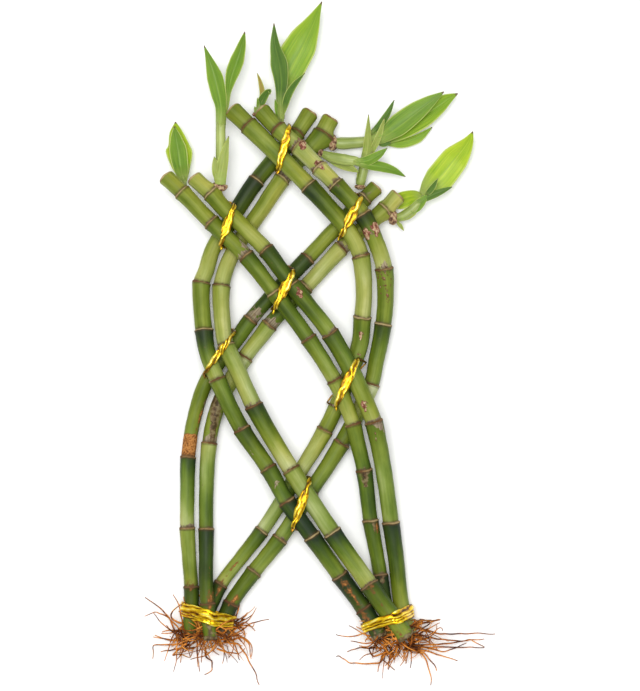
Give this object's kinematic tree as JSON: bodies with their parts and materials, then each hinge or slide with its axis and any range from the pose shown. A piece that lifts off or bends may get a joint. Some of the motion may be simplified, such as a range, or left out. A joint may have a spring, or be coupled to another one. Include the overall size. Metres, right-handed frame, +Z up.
{
  "type": "lucky bamboo bunch",
  "caption": "Bunch of lucky bamboo canes woven into an open lattice and tied with gold foil, with rooted feet and leafy shoots, lying flat.",
  "frame": {"origin": "middle of the bounding box, at the height of the surface that the bunch lies on", "axes": "+X across the bunch to the right, +Y from the roots to the leaves, +Z up from the surface, towards the front of the lattice"},
  "size_m": [0.2125, 0.4119, 0.026],
  "materials": {
    "cane": "smooth waxy green bark with tan rings",
    "shoot": "satin leaf, living plant tissue",
    "foil": "crumpled metallised gold foil over a thin wire",
    "root": "matte orange brown root"
  },
  "bodies": {
    "root": {"cane_far_left_outer": "cane", "cane_far_left_inner": "cane", "cane_mid_left_outer": "cane", "cane_mid_left_inner": "cane", "cane_mid_right_inner": "cane", "cane_mid_right_outer": "cane", "cane_far_right_inner": "cane", "cane_far_right_outer": "cane", "shoot_far_left_outer": "shoot", "shoot_far_left_inner": "shoot", "shoot_mid_left_outer": "shoot", "shoot_mid_left_inner": "shoot", "shoot_mid_right_inner": "shoot", "shoot_mid_right_outer": "shoot", "shoot_far_right_inner": "shoot", "shoot_far_right_outer": "shoot", "tie_top_middle": "foil", "tie_left_upper": "foil", "tie_right_upper": "foil", "tie_centre": "foil", "tie_left_lower": "foil", "tie_right_lower": "foil", "tie_bottom_middle": "foil", "tie_foot_left": "foil", "tie_foot_right": "foil", "roots_left": "root", "roots_right": "root"}
  },
  "joints": []
}
